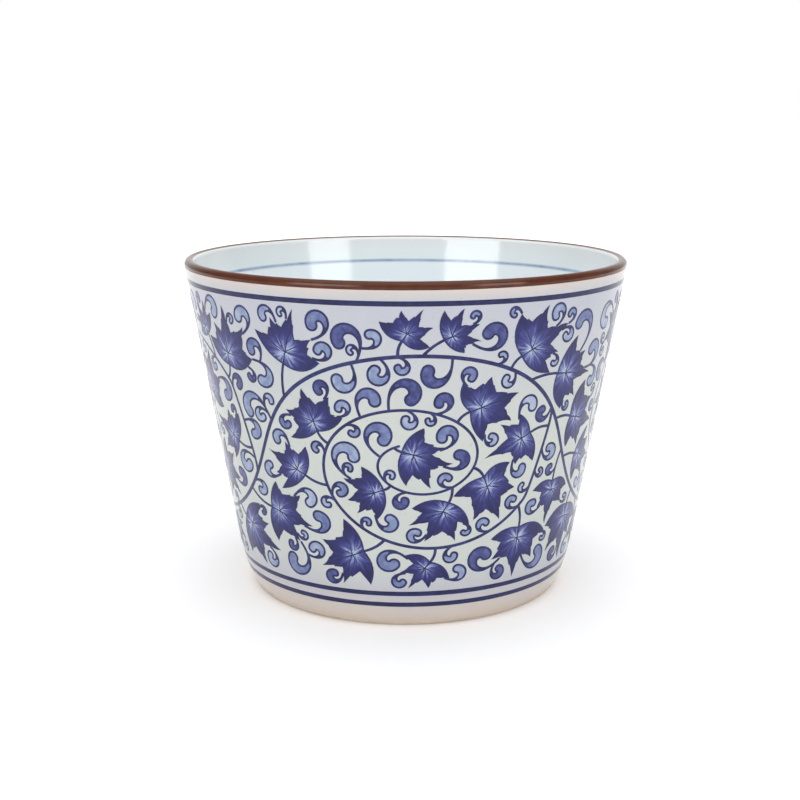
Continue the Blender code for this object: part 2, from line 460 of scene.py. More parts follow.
def leaf_material():
    """Brushed cobalt: nearly white by the leaf's heart, and dark indigo towards its tips."""
    made, tree, place, _ = new_material("leaf_cobalt", OUTSIDE_GLOSS)
    brushed = noise(tree, attribute(tree, "brush", "Vector"), 1.0, 3.0, 0.6)
    streaks = ranged(tree, brushed, 0.3, 0.7, -0.25, 0.25)
    colour = ramp(
        tree,
        maths(tree, "ADD", streaks, attribute(tree, "reach")),
        (0.02, (0.48, 0.54, 0.66)),
        (0.16, (0.25, 0.30, 0.52)),
        (0.34, (0.072, 0.082, 0.27)),
        (0.60, (0.028, 0.029, 0.150)),
        (1.00, (0.018, 0.018, 0.095)),
    )
    finish_surface(tree, colour, place)
    return made


def wash_material():
    """The watery fill of a curl: each has its own strength, and it settles darker at the stalk."""
    made, tree, place, _ = new_material("curl_wash_cobalt", OUTSIDE_GLOSS)
    cloud = ranged(tree, noise(tree, place, 900.0), 0.3, 0.7, -0.16, 0.16)
    colour = ramp(
        tree,
        maths(tree, "ADD", attribute(tree, "tone"), cloud),
        (0.0, (0.43, 0.49, 0.62)),
        (0.35, (0.22, 0.28, 0.46)),
        (0.7, (0.10, 0.125, 0.31)),
        (1.0, (0.038, 0.042, 0.17)),
    )
    finish_surface(tree, colour, place)
    return made


# ---- the turned pieces
def make_body(finish):
    """The clay under the glazes. Only the foot's edge reaches the surface."""
    under = GLAZE + CLAY_GAP
    outline = [(0.0, RECESS_HEIGHT + under), (RECESS_RADIUS + under, RECESS_HEIGHT + under)]
    outline.append((FOOT_FACE_INNER, BARE_FOOT_HEIGHT))
    outline.append((FOOT_FACE_INNER, FOOT_EDGE))
    outline.append((FOOT_FACE_INNER + 0.3 * FOOT_EDGE, 0.3 * FOOT_EDGE))
    outline += [(FOOT_FACE_INNER + FOOT_EDGE, 0.0), (FOOT_FACE_OUTER, 0.0), outer(0.4 * FOOT_EDGE)]
    outline += [outer(height) for height in between(FOOT_EDGE, BARE_FOOT_HEIGHT, 4)]
    outline += [outer(height, under) for height in between(BARE_FOOT_HEIGHT, CORNER_HEIGHT, 20)]
    outline += lip(0, 180, under)
    outline += inner_floor(under)
    return turned("fired_clay_body", outline, finish, "porcelain_body")


def make_outer_glaze(finish):
    """The clear glaze outside, from the foot up to the brown band."""
    heights = between(BARE_FOOT_HEIGHT, CORNER_HEIGHT, 24)
    heights += between(CORNER_HEIGHT, BROWN_HEIGHT - CLEAR_END, 28)[1:]
    outline = [outer(height) for height in heights]
    outline += [outer(height, GLAZE) for height in reversed(heights)]

    def edge(index, angle):
        return GLAZE_WAVER * wobble(angle, 4) if index in (0, len(outline) - 1) else 0.0

    return turned("outside_glaze", outline, finish, "outer_glaze", edge)


def make_inner_glaze(finish):
    """The clear glaze inside, from the floor up over the lip's inner side to the brown."""
    heights = between(INNER_TURN_HEIGHT, LIP_CENTRE[1], 24)
    outline = list(reversed(inner_floor()))
    outline += [inner_wall(height) for height in heights[1:]]
    outline += list(reversed(lip(BROWN_TURN, 180, 0.0, 10)))[1:]
    outline += lip(BROWN_TURN, 180, GLAZE, 10)
    outline += [inner_wall(height, GLAZE) for height in reversed(heights[:-1])]
    outline += inner_floor(GLAZE)[1:]
    return turned("inside_glaze", outline, finish, "inner_glaze")


def make_rim_glaze(finish):
    """The iron-brown glaze over the lip, with a lower edge that isn't quite even."""
    bottom = BROWN_HEIGHT - BROWN_START
    side = [outer(height, -BROWN_LIFT) for height in between(bottom, LIP_CENTRE[1], 4)[:-1]]
    outline = [outer(bottom, GLAZE)] + side + lip(0, BROWN_TURN)
    outline += reversed(lip(0, BROWN_TURN, GLAZE))

    def edge(index, angle):
        return BROWN_WAVER * wobble(angle, 7) if index in (0, 1) else 0.0

    return turned("brown_lip_glaze", outline, finish, "rim_glaze", edge)


def make_foot_glaze(finish):
    """The clear glaze in the recess under the foot."""

    def hollow(depth):
        rounded = [
            (RECESS_RADIUS + depth - 0.8, RECESS_HEIGHT + depth),
            (RECESS_RADIUS + depth - 0.25, RECESS_HEIGHT + depth - 0.12),
            (RECESS_RADIUS + depth + 0.12, RECESS_HEIGHT + depth - 0.45),
        ]
        return [(0.0, RECESS_HEIGHT + depth)] + rounded + [(FOOT_FACE_INNER + depth, BARE_FOOT_HEIGHT)]

    outline = hollow(0.0) + list(reversed(hollow(GLAZE)))
    return turned("under_foot_glaze", outline, finish, "foot_glaze")


def make_ring(name, node, finish, seed):
    """A painted ring on the outer wall, at its CAD node's heights. Its edges waver a little."""
    _, bottom, top = span(node)
    heights = between(bottom, top, 3)
    outline = [outer(height, -PAINT_LIFT) for height in heights]
    outline += [outer(height, PAINT_DEPTH) for height in reversed(heights)]

    def edge(index, angle):
        if index in (1, 4):
            return 0.0
        return RING_WAVER * wobble(angle, seed if index in (0, 5) else seed + 1)

    return turned(name, outline, finish, node, edge)


def make_inner_ring(finish):
    _, bottom, top = span("inner_border_line")
    heights = between(bottom, top, 3)
    outline = [inner_wall(height, PAINT_DEPTH) for height in heights]
    outline += [inner_wall(height, -PAINT_LIFT) for height in reversed(heights)]
    return turned("inside_ring", outline, finish, "inner_border_line")


# ---- the vine, on the wall laid flat
# A point of the vine is (angle, height): radians round the cup from its front, and millimetres up.
# The drawing repeats every half turn, with one scroll that arches over and one that hangs under.
PERIOD = math.pi
PITCH = PERIOD / 2
BAND_MIDDLE = (VINE_BOTTOM + VINE_TOP) / 2
TABLE_HEIGHTS = np.linspace(VINE_BOTTOM - 1.0, VINE_TOP + 1.0, 200)
TABLE_RADII = np.array([outer(height)[0] for height in TABLE_HEIGHTS])
TINY = 1e-9

# The running stem's wave: where it starts, how high it rises, and how steep its crossings are.
SCROLL_START = math.radians(-42.0)
STEM_RISE = 17.4
STEM_SWAY = 0.125
STEM_POINTS = 400
STEP = 0.5

# The branch leaves the stem between these shares of a half wave, and winds in between these turns.
BRANCH_LEAVES = (0.78, 0.90)
SPIRAL_TURNS = (math.radians(24.0), math.radians(600.0))
SPIRAL_POINTS = 90
SPIRAL_WIDTH = 0.70
SPIRAL_HEIGHT = 20.4
SPIRAL_DROP = 1.5
WIDTH_DECAY = math.radians(400.0)
HEIGHT_DECAY = math.radians(350.0)


def wall_radius(height):
    return np.interp(height, TABLE_HEIGHTS, TABLE_RADII)


def on_wall(local, start):
    """Flat offsets in millimetres, laid on the wall from a starting point."""
    height = start[..., 1] + local[..., 1] * math.cos(WALL_LEAN)
    return np.stack([start[..., 0] + local[..., 0] / wall_radius(height), height], -1)


def rotated(local, turn):
    """Flat offsets turned anticlockwise, all by one angle or each by its own."""
    x, y = local[..., 0], local[..., 1]
    return np.stack([x * np.cos(turn) - y * np.sin(turn), x * np.sin(turn) + y * np.cos(turn)], -1)


def flattened(path, steps):
    """Steps between a path's points, turned into flat millimetres."""
    return steps * np.stack([wall_radius(path[:, 1]), np.ones(len(path))], 1)


def unit(vectors):
    return vectors / (np.hypot(vectors[:, 0], vectors[:, 1])[:, None] + TINY)


def leftwards(vectors):
    """The vectors turned a quarter to the left."""
    return np.stack([-vectors[:, 1], vectors[:, 0]], 1)


def directions(path):
    """Unit directions along a path, in flat millimetres."""
    return unit(flattened(path, np.gradient(path, axis=0)))


def angles_of(vectors):
    return [math.atan2(y, x) for x, y in vectors]


def evenly(path, spacing):
    """The same path, with its points this many millimetres apart."""
    steps = flattened(path[1:], np.diff(path, axis=0))
    along = np.concatenate([[0.0], np.cumsum(np.hypot(steps[:, 0], steps[:, 1]))])
    wanted = np.linspace(0.0, along[-1], max(3, int(along[-1] / spacing) + 1))
    return np.stack([np.interp(wanted, along, column) for column in path.T], 1)


def main_stem(first, last):
    """The running stem: a wave with steep crossings, whose half waves span one scroll each."""
    turn = np.linspace(first, last, STEM_POINTS)
    angle = SCROLL_START + PITCH * turn / math.pi - STEM_SWAY * np.sin(2 * turn)
    return np.stack([angle, BAND_MIDDLE + STEM_RISE * np.sin(turn)], 1)


def through(path):
    """A smooth curve through a few points, by rounding their corners again and again."""
    for _ in range(4):
        near = 0.75 * path[:-1] + 0.25 * path[1:]
        far = 0.25 * path[:-1] + 0.75 * path[1:]
        inner = np.stack([near, far], 1).reshape(-1, 2)
        path = np.concatenate([path[:1], inner[1:-1], path[-1:]])
    return evenly(path, STEP)


def spiral_branch(scroll):
    """The branch that leaves the running stem and winds in to the heart of its scroll."""
    side = 1.0 if scroll == 0 else -1.0
    leave = main_stem(*(math.pi * (scroll + share) for share in BRANCH_LEAVES))[:: STEM_POINTS // 3]
    turn = np.linspace(*SPIRAL_TURNS, SPIRAL_POINTS)
    width = SPIRAL_WIDTH * np.exp(-turn / WIDTH_DECAY)
    height = SPIRAL_HEIGHT * np.exp(-turn / HEIGHT_DECAY)
    angle = SCROLL_START + PITCH * (scroll + 0.50) + width * np.cos(turn)
    level = BAND_MIDDLE - side * (SPIRAL_DROP + height * np.sin(turn))
    return through(np.concatenate([leave, np.stack([angle, level], 1)]))


class Room:
    """How far each place in the vine's band is from the nearest paint, in millimetres.

    The lowest and highest rows of cells count as outside the band, where nothing may lie.
    """

    ACROSS = 640
    UP = 256
    REACH = 9.0
    BORDER = 0.30

    def __init__(self):
        self.cell = (PERIOD / self.ACROSS, (VINE_TOP - VINE_BOTTOM) / self.UP)
        self.heights = VINE_BOTTOM + (np.arange(self.UP) + 0.5) * self.cell[1]
        edge = np.minimum(self.heights - VINE_BOTTOM, VINE_TOP - self.heights) + self.BORDER
        edge[[0, -1]] = -1.0
        self.clear = np.repeat(np.minimum(edge, self.REACH)[:, None], self.ACROSS, 1)

    def cells(self, places):
        """The grid cells of places on the wall, as two index arrays."""
        across = np.floor(places[..., 0] / self.cell[0]).astype(np.int32) % self.ACROSS
        up = np.floor((places[..., 1] - VINE_BOTTOM) / self.cell[1]).astype(np.int32)
        return np.clip(up, 0, self.UP - 1), across

    def fill(self, places, half_widths):
        """Takes the room under dots of paint of these half widths."""
        for (angle, height), half in zip(places, np.broadcast_to(half_widths, len(places))):
            radius = wall_radius(height)
            low = max(0, int((height - self.REACH - VINE_BOTTOM) / self.cell[1]))
            high = min(self.UP, int((height + self.REACH - VINE_BOTTOM) / self.cell[1]) + 1)
            reach = int(self.REACH / radius / self.cell[0]) + 1
            middle = int(math.floor(angle / self.cell[0]))
            columns = np.arange(middle - reach, middle + reach + 1)
            away = ((columns + 0.5) * self.cell[0] - angle) * radius
            rise = self.heights[low:high, None] - height
            distance = np.hypot(away[None, :], rise) - half
            rows = np.arange(low, high)[:, None]
            columns = (columns % self.ACROSS)[None, :]
            self.clear[rows, columns] = np.minimum(self.clear[rows, columns], distance)


# ---- leaves and curls, on flat paper
# A shape starts at the origin and grows along +X, in millimetres. A lobe of a leaf is its angle, in
# degrees, and its reach, as a share of the leaf's length.
LEAF_HEART = 0.30
LEAF_KINDS = (
    ((0.0, 1.00), (35.0, 0.84), (74.0, 0.70)),
    ((0.0, 1.00), (28.0, 0.86), (55.0, 0.76), (88.0, 0.60)),
    ((0.0, 1.00), (40.0, 0.82), (84.0, 0.64)),
    ((0.0, 1.00), (31.0, 0.88), (64.0, 0.70)),
)
STALK_POINTS = 8
CURL_POINTS = 26
CURL_TIGHTENING = 1.5
CURL_LEAD = 0.35
CURL_START_HALF = 0.24
END_POINTS = 7


def bowed(start, end, bulge, count):
    """Points from start up to, but not with, the end, on a curve that bulges to its right."""
    run = end - start
    middle = (start + end) / 2 + np.array([run[1], -run[0]]) * bulge * 2
    t = np.linspace(0, 1, count, endpoint=False)[:, None]
    return (1 - t) ** 2 * start + 2 * t * (1 - t) * middle + t * t * end


def toothed(tip, notch, heart, chance):
    """One edge of a lobe, from its tip up to, but not with, the notch, with a small tooth on the way."""
    reach = chance.uniform(0.42, 0.58)
    tooth = tip + (notch - tip) * (reach + 0.10)
    hollow = tip + (notch - tip) * reach
    hollow = hollow + (heart - hollow) * chance.uniform(0.04, 0.12)
    bulge = chance.uniform(0.0, 0.10)
    runs = (bowed(tip, hollow, bulge, 3), bowed(hollow, tooth, 0.0, 1), bowed(tooth, notch, bulge, 2))
    return np.concatenate(runs)


def leaf_shape(length, lobes, chance):
    """A pointed leaf's outline, anticlockwise from its base, the tips of its lobes, and its heart."""
    base, heart = np.zeros(2), np.array([LEAF_HEART * length, 0.0])
    tips = []
    for angle, reach in [(-angle, reach) for angle, reach in reversed(lobes[1:])] + list(lobes):
        turn = math.radians(angle + chance.uniform(-6, 6))
        far = length * reach * chance.uniform(0.84, 1.08)
        tips.append(far * np.array([math.cos(turn), math.sin(turn)]))
    outline = [bowed(base, tips[0], chance.uniform(0.10, 0.20), 8)]
    for before, after in zip(tips, tips[1:]):
        notch = (before + after) / 2 * chance.uniform(0.60, 0.76)
        outline.append(toothed(before, notch, heart, chance))
        outline += [notch[None], toothed(after, notch, heart, chance)[:0:-1]]
    outline.append(bowed(tips[-1], base, chance.uniform(0.10, 0.20), 8))
    return np.concatenate(outline), tips, heart


def walked(headings, step):
    """A line from the origin, one step at a time along these headings."""
    steps = np.stack([np.cos(headings), np.sin(headings)], 1) * step
    return np.concatenate([[[0.0, 0.0]], np.cumsum(steps, axis=0)])


def stalk_shape(length, lean):
    """A leaf's stalk, which bends forward along its stem, and the leaf's heading at its end."""
    bend = -math.radians(0.45 * lean)
    headings = bend * np.linspace(0, 1, STALK_POINTS)
    return walked(headings[1:], length / (STALK_POINTS - 1)), bend


def curl_shape(length, turn, hand):
    """The middle line of a curl, which bends more and more towards its head."""
    share = np.linspace(0, 1, CURL_POINTS)
    heading = hand * (turn * share**CURL_TIGHTENING - CURL_LEAD * np.sin(math.pi * share))
    return walked((heading[1:] + heading[:-1]) / 2, length / (CURL_POINTS - 1))


def curl_halves(length, turn, head, hand):
    """Half widths of a curl on its left and right. The inner side keeps clear of its own centre."""
    share = np.linspace(0, 1, CURL_POINTS)
    grown = np.clip((share - 0.18) / (0.86 - 0.18), 0.0, 1.0)
    half = CURL_START_HALF + (head - CURL_START_HALF) * (grown * grown * (3 - 2 * grown))
    bend = turn * CURL_TIGHTENING * share ** (CURL_TIGHTENING - 1) / length
    inside = np.minimum(half, 0.9 / (bend + 1e-6))
    return (inside, half) if hand > 0 else (half, inside)


def rounded_end(path, left, right):
    """A stroke's path and half widths, with a round end added."""
    turn = np.linspace(0, math.radians(84), END_POINTS + 1)[1:]
    size = (left[-1] + right[-1]) / 2
    extra = on_wall(directions(path)[-1] * (size * np.sin(turn))[:, None], path[-1])
    ends = [np.concatenate([half, half[-1] * np.cos(turn)]) for half in (left, right)]
    return np.concatenate([path, extra]), *ends


def quads(grid):
    """Four-sided faces between the rows of a grid of point numbers."""
    ends = [grid[:-1, :-1], grid[1:, :-1], grid[1:, 1:], grid[:-1, 1:]]
    return np.stack(ends, -1).reshape(-1, 4).tolist()


def ring_grid(first, rows, count):
    """Point numbers of closed rings, one to a row, with each ring's first point again at its end."""
    grid = first + np.arange(rows * count).reshape(rows, count)
    return np.concatenate([grid, grid[:, :1]], 1)


class Paint:
    """Thin closed slabs that lie on the wall, standing proud by their lift, gathered into one piece."""

    SINK = 0.03

    def __init__(self, lift):
        self.lift = lift
        self.points = []
        self.faces = []
        self.marks = {}

    def lay(self, places, faces, rims, hand=1, **marks):
        """One slab: its places on the wall, its faces, and its outlines, a hole's in the other sense.

        A hand of -1 means that the places are mirrored, so faces and outlines are turned round.
        """
        faces = [face[::hand] for face in faces]
        rims = [rim[::hand] for rim in rims]
        count = len(places)
        for half_turn in (0.0, math.pi):
            base = len(self.points)
            for rise in (self.lift, -self.SINK):
                radius = wall_radius(places[:, 1]) + rise
                angle = places[:, 0] + half_turn
                x, y = radius * np.sin(angle), -radius * np.cos(angle)
                self.points += list(zip(x.tolist(), y.tolist(), places[:, 1].tolist()))
            for face in faces:
                self.faces.append(tuple(base + i for i in face))
                self.faces.append(tuple(base + count + i for i in reversed(face)))
            for rim in rims:
                for a, b in zip(rim, rim[1:] + rim[:1]):
                    self.faces.append((base + count + a, base + count + b, base + b, base + a))
            for name, values in marks.items():
                values = np.broadcast_to(values, (count,) + np.shape(values)[1:]).tolist()
                self.marks.setdefault(name, []).extend(values + values)

    def ribbon(self, path, left, right, columns=3, **marks):
        """A stroke along a path, with half widths to its left and right."""
        share = np.linspace(0, 1, columns)[None, :, None]
        reach = -right[:, None, None] * (1 - share) + left[:, None, None] * share
        aside = leftwards(directions(path))[:, None, :]
        places = on_wall(aside * reach, path[:, None, :]).reshape(-1, 2)
        grid = np.arange(len(places)).reshape(-1, columns)
        rim = np.concatenate([grid[:, 0], grid[-1, 1:], grid[-2::-1, -1], grid[0, -2:0:-1]])
        self.lay(places, quads(grid), [rim.tolist()], **marks)

    def piece(self, name, finish, slot):
        made = make_piece(name, self.points, self.faces, finish, "vine_print")
        for mark, values in self.marks.items():
            vector = np.ndim(values) > 1
            layer = made.data.attributes.new(mark, "FLOAT_VECTOR" if vector else "FLOAT", "POINT")
            layer.data.foreach_set("vector" if vector else "value", np.ravel(values))


# ---- growing the vine
# Half the width of each stroke, the width of a leaf's edge line and of a curl's outline, in millimetres.
STEM_HALF = 0.34
BRANCH_HALF = 0.28
STALK_HALF = 0.24
VEIN_HALF = 0.10
VEIN_TIP_HALF = 0.03
EDGE_LINE = 0.30
CURL_LINE = 0.40

# The room that a shape needs round it, at a curl's start, and along a stalk.
GAP = 0.40
START_GAP = 0.30
STALK_GAP = 0.15

# Each shape is the closest fit of this many choices. Long curls and leaves are drawn to the borders.
LEAF_CHOICES = 60
CURL_CHOICES = 14
BORDER_PULL = 0.30
LONG_CURL = 7.0

# Leaves as (length, most), curls as (length, half width of the head, most), per half turn.
LEAF_SIZES = ((10.4, 8), (9.6, 9), (8.8, 10), (8.0, 9), (7.0, 8))
LEAF_LEANS = (30.0, 52.0, 75.0, 98.0)
STALK_LENGTHS = (1.4, 2.8, 4.4, 6.0)
CURL_ROUNDS = 3
CURL_SIZES = ((10.6, 1.20, 7), (6.4, 1.08, 6), (8.8, 1.20, 8), (5.4, 0.96, 7), (7.6, 1.16, 8))
SMALL_CURL_SIZES = ((6.4, 1.06, 30), (5.5, 0.97, 40), (4.7, 0.88, 60), (4.0, 0.78, 80), (3.4, 0.68, 60))
CURL_TURNS = (205.0, 240.0, 275.0)
CURL_LEANS = (28.0, 55.0, 85.0)
CURL_TONES = (0.08, 0.2, 0.25, 0.35, 0.5, 0.8)
LEAF_RINGS = 5
VEIN_POINTS = 12

# A leaf's pale spot and how far it reaches, as shares of its length, and the scales of its brush marks.
PALE_SPOT = 0.22
PALE_REACH = 0.55
BRUSH_ROUND = 4.0
BRUSH_ALONG = 1.5
BRUSH_APART = 9.7

# The sides on which a shape may leave its place: either side, or straight ahead.
BOTH_SIDES = (1, -1)
AHEAD = (0,)


class Vine:
    """The stems, and the leaves and curls placed along them.

    Leaves grow from shoots and curls from buds. Each is a place, the heading there, and its sides.
    """

    def __init__(self, seed):
        self.chance = random.Random(seed)
        self.room = Room()
        self.stems = Paint(0.012)
        self.curls = Paint(0.014)
        self.washes = Paint(0.026)
        self.leaves = Paint(0.020)
        self.leaf_lines = Paint(0.032)
        self.shoots = []
        self.buds = []
        self.leaf_count = 0

    def grow_stem(self, path, half, end_half):
        """A stem, thinner at its far end. Shoots may leave it on either side."""
        path = evenly(path, STEP)
        halves = np.linspace(half, end_half, len(path))
        self.stems.ribbon(path, halves, halves)
        self.room.fill(path, halves)
        turns = angles_of(directions(path))
        self.shoots.append((path[-1], turns[-1], AHEAD))
        for place, turn in list(zip(path, turns))[4:-1:2]:
            self.shoots.append((place, turn, BOTH_SIDES))
            self.buds.append((place, turn, BOTH_SIDES))

    def trial(self, origins, lean, sample, needed, shape):
        """A shape tried at every origin, leaning to each side.

        It gives back where the sample points would lie, the room that they need, the shape, and the
        start, heading and hand of each try.
        """
        spots = []
        for place, turn, sides in origins:
            for side in sides:
                spots.append((place, turn + side * math.radians(lean), side or 1))
        starts, headings, hands = (np.array(column) for column in zip(*spots))
        flat = sample[None] * np.stack([np.ones(len(hands)), hands], 1)[:, None, :]
        places = on_wall(rotated(flat, headings[:, None]), starts[:, None, :])
        return places, needed, shape, spots

    def settle(self, trials, limit, paint, choices, pull):
        """Paints up to limit shapes, each time the closest fit of a few picked at random.

        A pull above zero draws them to the band's borders, where no stem would fill the gap later.
        """
        longest = max(len(needed) for _, needed, _, _ in trials)
        tests, ups, acrosses, needs = [], [], [], []
        for places, needed, shape, spots in trials:
            spare = ((0, 0), (0, longest - len(needed)))
            up, across = self.room.cells(places)
            ups.append(np.pad(up, spare, "edge"))
            acrosses.append(np.pad(across, spare, "edge"))
            needs.append(np.pad(np.repeat(needed[None], len(places), 0), spare, "edge"))
            tests += [(*shape, *spot) for spot in spots]
        up, across, needed = np.concatenate(ups), np.concatenate(acrosses), np.concatenate(needs)
        alive = np.arange(len(tests))
        for _ in range(limit):
            clear = self.room.clear[up[alive], across[alive]]
            kept = (clear >= needed[alive]).all(axis=1)
            alive = alive[kept]
            if not len(alive):
                return
            rows = up[alive]
            border = np.minimum(rows, Room.UP - rows).min(axis=1) * self.room.cell[1]
            looseness = clear[kept].mean(axis=1) + pull * border
            picks = self.chance.sample(range(len(alive)), min(len(alive), choices))
            best = min(picks, key=lambda pick: looseness[pick])
            paint(*tests[alive[best]])

    def grow_leaves(self, length, limit):
        """Leaves of one size, on stalks that lean forward along their stem."""
        trials = []
        for lean in LEAF_LEANS:
            for stalk in STALK_LENGTHS:
                leaf = leaf_shape(length, self.chance.choice(LEAF_KINDS), self.chance)
                outline, _, heart = leaf
                line, bend = stalk_shape(stalk, lean)
                body = np.concatenate([outline, outline * 0.6 + heart * 0.4])
                sample = np.concatenate([line[2:], rotated(body, bend) + line[-1]])
                needed = np.concatenate([np.full(len(line) - 2, STALK_GAP), np.full(len(body), GAP)])
                trials.append(self.trial(self.shoots, lean, sample, needed, (leaf, line, bend)))
        self.settle(trials, limit, self.paint_leaf, LEAF_CHOICES, BORDER_PULL)

    def paint_leaf(self, leaf, line, bend, start, turn, hand):
        """One leaf, with its stalk, edge and veins."""
        outline, tips, heart = leaf
        flip = np.array([1.0, hand])

        def lay(flat):
            return on_wall(rotated(flat * flip, turn), start)

        def lay_leaf(flat):
            return lay(rotated(flat, bend) + line[-1])

        count = len(outline)
        size = np.hypot(*tips[len(tips) // 2])
        rings = [heart + (outline - heart) * ring / LEAF_RINGS for ring in range(1, LEAF_RINGS + 1)]
        blade = np.concatenate([heart[None]] + rings)
        faces = [(0, 1 + i, 1 + (i + 1) % count) for i in range(count)]
        faces += quads(ring_grid(1, LEAF_RINGS, count))
        away = blade - np.array([PALE_SPOT * size, 0.0])
        reach = np.hypot(away[:, 0], away[:, 1]) / (PALE_REACH * size)
        along = reach * BRUSH_ALONG + BRUSH_APART * self.leaf_count
        brush = np.concatenate([unit(away) * BRUSH_ROUND, along[:, None]], 1)
        rim = list(range(len(blade) - count, len(blade)))
        self.leaves.lay(lay_leaf(blade), faces, [rim], hand, reach=reach, brush=brush)

        edge = np.concatenate([outline + unit(heart - outline) * EDGE_LINE, outline])
        rims = [list(range(count, 2 * count)), list(range(count))[::-1]]
        self.leaf_lines.lay(lay_leaf(edge), quads(ring_grid(0, 2, count)), rims, hand)
        for tip in tips:
            middle = tip is tips[len(tips) // 2]
            begin = np.zeros(2) if middle else heart * 0.75
            share = np.linspace(0, 0.86 if middle else 0.74, VEIN_POINTS)[:, None]
            halves = np.linspace(VEIN_HALF * (1.5 if middle else 1.0), VEIN_TIP_HALF, VEIN_POINTS)
            self.leaf_lines.ribbon(lay_leaf(begin + (tip - begin) * share), halves, halves, 2)
        stalk = lay(line)
        halves = np.linspace(STALK_HALF * 1.15, STALK_HALF, len(stalk))
        self.stems.ribbon(stalk, halves, halves)

        self.room.fill(stalk, STALK_HALF)
        self.room.fill(lay_leaf(outline), 0.1)
        self.room.fill(lay_leaf(heart + (outline - heart) * 0.55), 0.9)
        turns = angles_of(directions(stalk))
        for index in range(2, len(stalk) - 2, 2):
            self.buds.append((stalk[index], turns[index], BOTH_SIDES))
        places = lay_leaf(outline)
        turns = angles_of(rotated(rotated(outline - heart, bend) * flip, turn))
        for index in range(4, count - 4, 2):
            self.buds.append((places[index], turns[index], AHEAD))
        self.leaf_count += 1

    def grow_curls(self, length, head, limit):
        """Curls of one size, wherever one fits."""
        trials = []
        start = max(3, int(1.5 / length * CURL_POINTS))
        for hand in (1, -1):
            for turn in np.radians(CURL_TURNS):
                line = curl_shape(length, turn, hand)
                left, right = curl_halves(length, turn, head, hand)
                ahead = unit(np.gradient(line, axis=0))
                aside = leftwards(ahead)
                sample = np.concatenate([
                    (line + aside * left[:, None])[start:],
                    (line - aside * right[:, None])[start:],
                    line[-1] + rotated(ahead[-1], np.linspace(-1.3, 1.3, 7)) * head,
                ])
                needed = np.full(len(sample), GAP)
                needed[:3] = START_GAP
                needed[CURL_POINTS - start:CURL_POINTS - start + 3] = START_GAP
                for lean in CURL_LEANS:
                    trials.append(self.trial(self.buds, lean, sample, needed, (line, left, right)))
        pull = BORDER_PULL if length > LONG_CURL else 0.0
        self.settle(trials, limit, self.paint_curl, CURL_CHOICES, pull)

    def paint_curl(self, line, left, right, start, turn, hand):
        """One curl: a dark outline, with a watery wash inside it."""
        path = on_wall(rotated(line * np.array([1.0, hand]), turn), start)
        if hand < 0:
            left, right = right, left
        tone = self.chance.choice(CURL_TONES) + self.chance.uniform(-0.05, 0.05)
        self.curls.ribbon(*rounded_end(path, left, right))
        first = int(np.argmax(np.minimum(left, right) > CURL_LINE + 0.12))
        inner = [np.maximum(half[first:] - CURL_LINE, 0.05) for half in (left, right)]
        strength = tone + 0.22 * (1 - np.linspace(0, 1, len(path))[first:])
        strength = np.repeat(np.pad(strength, (0, END_POINTS), "edge"), 3)
        self.washes.ribbon(*rounded_end(path[first:], *inner), tone=strength)
        self.room.fill(path[::2], np.maximum(left, right)[::2])
        turns = angles_of(directions(path))
        for index in (3, 6):
            self.buds.append((path[index], turns[index], BOTH_SIDES))

    def grow(self):
        """Stems first, then leaves and curls from the largest size to the smallest in each round."""
        self.grow_stem(main_stem(0.0, 2 * math.pi), STEM_HALF, STEM_HALF)
        for scroll in (0, 1):
            self.grow_stem(spiral_branch(scroll), BRANCH_HALF * 1.15, BRANCH_HALF * 0.8)
        for length, limit in LEAF_SIZES:
            self.grow_leaves(length, limit)
        for length, head, limit in CURL_SIZES * CURL_ROUNDS + SMALL_CURL_SIZES:
            self.grow_curls(length, head, limit)


# ---- light, floor and camera
LIGHT_AIM = 0.04


def softbox(name, azimuth, elevation, distance, width, height, power, only_gloss=False):
    """An area light aimed at the cup. Azimuth 0 is the camera's side, and positive is to its right."""
    turn, lift = math.radians(azimuth), math.radians(elevation)
    light = bpy.data.lights.new(name, "AREA")
    light.shape = "RECTANGLE"
    light.size = width
    light.size_y = height
    light.energy = power
    lamp = new_object(name, light)
    lamp.location = (
        distance * math.sin(turn) * math.cos(lift),
        -distance * math.cos(turn) * math.cos(lift),
        LIGHT_AIM + distance * math.sin(lift),
    )
    lamp.rotation_euler = (math.pi / 2 - lift, 0.0, turn)
    lamp.visible_diffuse = not only_gloss


FLOOR_HALF = 6.0
FLOOR_DROP = 0.00002
FLOOR_TONE = 0.97
# The floor glows more with its distance from the cup, in metres.
GLOW_DISTANCES = (0.25, 0.90)
GLOW_STRENGTHS = (0.10, 0.45)


def make_floor():
    """A plain pale floor, which brightens until it meets the white surroundings without an edge."""
    mesh = bpy.data.meshes.new("floor")
    signs = ((-1, -1), (1, -1), (1, 1), (-1, 1))
    mesh.from_pydata([(x * FLOOR_HALF, y * FLOOR_HALF, 0) for x, y in signs], [], [(0, 1, 2, 3)])
    finish, tree, place, _ = new_material("floor_paper", 0.0)
    shader = tree.nodes["Principled BSDF"]
    shader.inputs["Base Color"].default_value = (FLOOR_TONE, FLOOR_TONE, FLOOR_TONE, 1.0)
    shader.inputs["Roughness"].default_value = 0.9
    shader.inputs["Emission Color"].default_value = (1.0, 1.0, 1.0, 1.0)
    glow = ranged(tree, vector_length(tree, place), *GLOW_DISTANCES, *GLOW_STRENGTHS)
    tree.links.new(glow, shader.inputs["Emission Strength"])
    mesh.materials.append(finish)
    floor = new_object("floor", mesh)
    floor.location.z = -FLOOR_DROP


SIDE_DIMMING = 0.75
ROOM_GLOSS = 0.14
BACKDROP_GLOSS = 0.90
BACKDROP_EDGE = (0.5, 0.95)


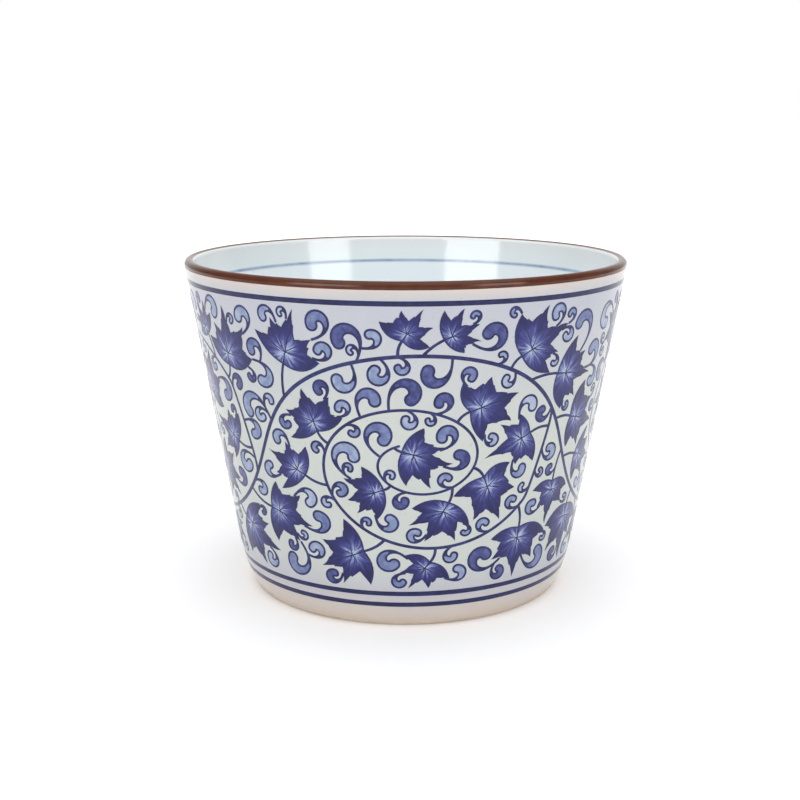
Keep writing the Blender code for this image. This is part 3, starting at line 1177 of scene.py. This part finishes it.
def make_world():
    """A white studio, dimmer towards its two sides. Only its backdrop gives a bright reflection."""
    world = bpy.data.worlds.new("studio")
    world.use_nodes = True
    tree = world.node_tree
    sky = tree.nodes["Background"]
    direction = add(tree, "ShaderNodeTexCoord").outputs["Generated"]
    parts = add(tree, "ShaderNodeSeparateXYZ", {"Vector": direction})
    sideways = maths(tree, "MULTIPLY", parts.outputs["X"], parts.outputs["X"])
    fall = maths(tree, "MULTIPLY_ADD", sideways, -SIDE_DIMMING, 1.0)
    ray = add(tree, "ShaderNodeLightPath")
    reflected = ranged(tree, parts.outputs["Y"], *BACKDROP_EDGE, ROOM_GLOSS, BACKDROP_GLOSS)
    lit = mixed(tree, ray.outputs["Is Glossy Ray"], fall, reflected)
    shown = mixed(tree, ray.outputs["Is Camera Ray"], lit, (1.0, 1.0, 1.0))
    tree.links.new(shown, sky.inputs["Color"])
    bpy.context.scene.world = world


CAMERA_DISTANCE = 0.260
CAMERA_RISE = math.radians(13.0)
AIM_HEIGHT = 0.031


def make_camera():
    """The photograph's viewing angle: a little above the rim, from close by."""
    camera = bpy.data.cameras.new("camera")
    camera.lens = 60.0
    camera.sensor_width = 36.0
    camera.shift_x = -0.007
    camera.shift_y = 0.024
    camera.clip_start = 0.01
    camera.clip_end = 50.0
    eye = new_object("camera", camera)
    across = CAMERA_DISTANCE * math.cos(CAMERA_RISE)
    eye.location = (0.0, -across, AIM_HEIGHT + CAMERA_DISTANCE * math.sin(CAMERA_RISE))
    eye.rotation_euler = (math.pi / 2 - CAMERA_RISE, 0.0, 0.0)
    bpy.context.scene.camera = eye


def main():
    bpy.context.scene.view_settings.view_transform = "Standard"
    make_world()
    make_floor()
    # degrees round and up, then distance, width and height in metres, and watts
    softbox("left_window", -42, 20, 1.1, 0.66, 0.62, 7.0, True)
    softbox("right_window", 48, 20, 1.1, 0.50, 0.62, 5.0, True)
    softbox("overhead", 0, 82, 1.2, 1.6, 1.6, 8.5)
    make_camera()

    line = ink_material("ring_cobalt", (0.012, 0.015, 0.070), (0.024, 0.028, 0.110))
    make_body(clay_material())
    make_outer_glaze(outer_glaze_material())
    make_inner_glaze(inner_glaze_material())
    make_foot_glaze(foot_glaze_material())
    make_rim_glaze(iron_material())
    make_ring("upper_ring", "upper_border_line", line, 3)
    make_ring("lower_ring_upper", "lower_border_line_upper", line, 5)
    make_ring("lower_ring_lower", "lower_border_line_lower", line, 8)
    make_inner_ring(inner_ring_material())

    vine = Vine(20)
    vine.grow()
    stroke = ink_material("vine_line_cobalt", (0.014, 0.017, 0.085), (0.040, 0.046, 0.175))
    vine.stems.piece("vine_stems", stroke, "cobalt")
    vine.curls.piece("vine_curl_outlines", stroke, "cobalt")
    vine.washes.piece("vine_curl_washes", wash_material(), "vine_cobalt")
    vine.leaves.piece("vine_leaves", leaf_material(), "vine_cobalt")
    vine.leaf_lines.piece("vine_leaf_lines", stroke, "cobalt")


main()
